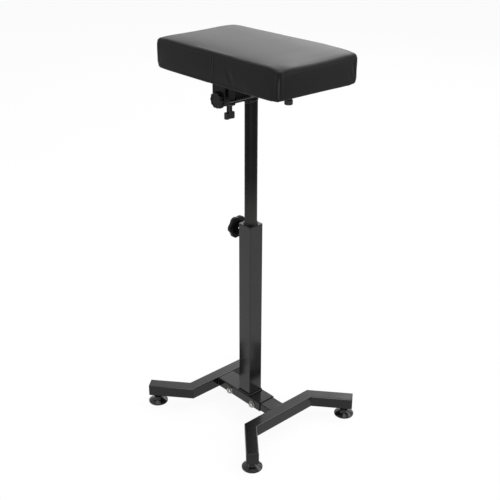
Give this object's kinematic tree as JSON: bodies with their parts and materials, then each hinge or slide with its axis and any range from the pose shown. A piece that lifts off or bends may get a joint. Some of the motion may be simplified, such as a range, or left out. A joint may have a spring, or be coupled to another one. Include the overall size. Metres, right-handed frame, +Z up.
{
  "type": "tattoo armrest stand",
  "caption": "Height-adjustable armrest stand: a swivelling, tilting padded cushion on a telescoping mast, with a bolted steel base and levelling feet.",
  "frame": {"origin": "on the floor, at the centre of the stand's footprint and under the post's axis", "axes": "+Z up along the post, +X along the cushion's long side and the base's spine, +Y away from the tilt knob"},
  "size_m": [0.415, 0.3682, 0.9469],
  "materials": {
    "powder_coat": "satin black powder coat",
    "zinc": "bright zinc plate",
    "black_steel": "black oxide steel",
    "knob_plastic": "satin black moulded plastic",
    "nylon": "smooth black nylon",
    "glide_plastic": "glossy black plastic",
    "rubber": "matt black rubber",
    "plywood": "black-stained plywood",
    "leatherette": "satin black leatherette over foam"
  },
  "bodies": {
    "base": {"base_sleeve": "powder_coat", "base_stub_left": "powder_coat", "base_stub_right": "powder_coat", "leg_bar_left": "powder_coat", "leg_bar_right": "powder_coat", "end_cap_left_front": "knob_plastic", "end_cap_left_rear": "knob_plastic", "end_cap_right_front": "knob_plastic", "end_cap_right_rear": "knob_plastic", "foot_nut_left_front": "black_steel", "foot_nut_left_rear": "black_steel", "foot_nut_right_front": "black_steel", "foot_nut_right_rear": "black_steel", "sleeve_bolt_left": "zinc", "sleeve_bolt_right": "zinc", "sleeve_nut_left": "zinc", "sleeve_nut_right": "zinc", "post_tube": "powder_coat", "post_weld": "powder_coat", "post_bush": "nylon", "knob_boss": "powder_coat"},
    "height_clamp": {"height_knob": "knob_plastic", "height_stud": "zinc"},
    "slider": {"slider_block": "nylon"},
    "mast": {"mast_tube": "powder_coat", "mast_retaining_ring": "black_steel", "mast_foot_plug": "nylon", "arm_bar": "powder_coat", "arm_rib": "powder_coat", "arm_weld": "powder_coat"},
    "head": {"head_block": "powder_coat"},
    "swivel_clamp": {"swivel_knob": "knob_plastic", "swivel_stud": "black_steel", "swivel_washer": "black_steel"},
    "pad": {"tilt_bracket": "powder_coat", "bracket_screw_1": "zinc", "bracket_screw_2": "zinc", "bracket_screw_3": "zinc", "bracket_screw_4": "zinc", "pad_board": "plywood", "pad_cushion": "leatherette", "buffer_stem": "black_steel", "buffer_tip": "rubber"},
    "tilt_clamp": {"tilt_knob": "knob_plastic", "tilt_stud": "zinc"},
    "foot_left_front": {"foot_glide_left_front": "glide_plastic", "foot_stud_left_front": "zinc"},
    "foot_left_rear": {"foot_glide_left_rear": "glide_plastic", "foot_stud_left_rear": "zinc"},
    "foot_right_front": {"foot_glide_right_front": "glide_plastic", "foot_stud_right_front": "zinc"},
    "foot_right_rear": {"foot_glide_right_rear": "glide_plastic", "foot_stud_right_rear": "zinc"}
  },
  "joints": [
    {"name": "height_slide", "type": "slide", "parent": "base", "child": "slider", "axis": [0, 0, 1], "range_m": [-0.22, 0.04]},
    {"name": "mast_swivel", "type": "hinge", "parent": "slider", "child": "mast", "pos_m": [0, 0, 0.4], "axis": [0, 0, 1], "continuous": true},
    {"name": "head_swivel", "type": "hinge", "parent": "mast", "child": "head", "pos_m": [0, -0.064, 0.8272], "axis": [0, 0, 1], "range_deg": [-45, 45]},
    {"name": "pad_tilt", "type": "hinge", "parent": "head", "child": "pad", "pos_m": [0, -0.092, 0.8345], "axis": [0, 1, 0], "range_deg": [-45, 45]},
    {"name": "height_knob_turn", "type": "hinge", "parent": "base", "child": "height_clamp", "pos_m": [-0.0425, 0, 0.4967], "axis": [-1, 0, 0], "range_deg": [0, 360]},
    {"name": "swivel_knob_turn", "type": "hinge", "parent": "head", "child": "swivel_clamp", "pos_m": [0, -0.064, 0.818], "axis": [0, 0, -1], "range_deg": [0, 360]},
    {"name": "tilt_knob_turn", "type": "hinge", "parent": "head", "child": "tilt_clamp", "pos_m": [0, -0.095, 0.8345], "axis": [0, -1, 0], "range_deg": [0, 360]},
    {"name": "foot_left_front_turn", "type": "hinge", "parent": "base", "child": "foot_left_front", "pos_m": [-0.1825, -0.15938, 0], "axis": [0, 0, 1], "range_deg": [-720, 720]},
    {"name": "foot_left_rear_turn", "type": "hinge", "parent": "base", "child": "foot_left_rear", "pos_m": [-0.1825, 0.15938, 0], "axis": [0, 0, 1], "range_deg": [-720, 720]},
    {"name": "foot_right_front_turn", "type": "hinge", "parent": "base", "child": "foot_right_front", "pos_m": [0.1825, -0.15938, 0], "axis": [0, 0, 1], "range_deg": [-720, 720]},
    {"name": "foot_right_rear_turn", "type": "hinge", "parent": "base", "child": "foot_right_rear", "pos_m": [0.1825, 0.15938, 0], "axis": [0, 0, 1], "range_deg": [-720, 720]}
  ]
}
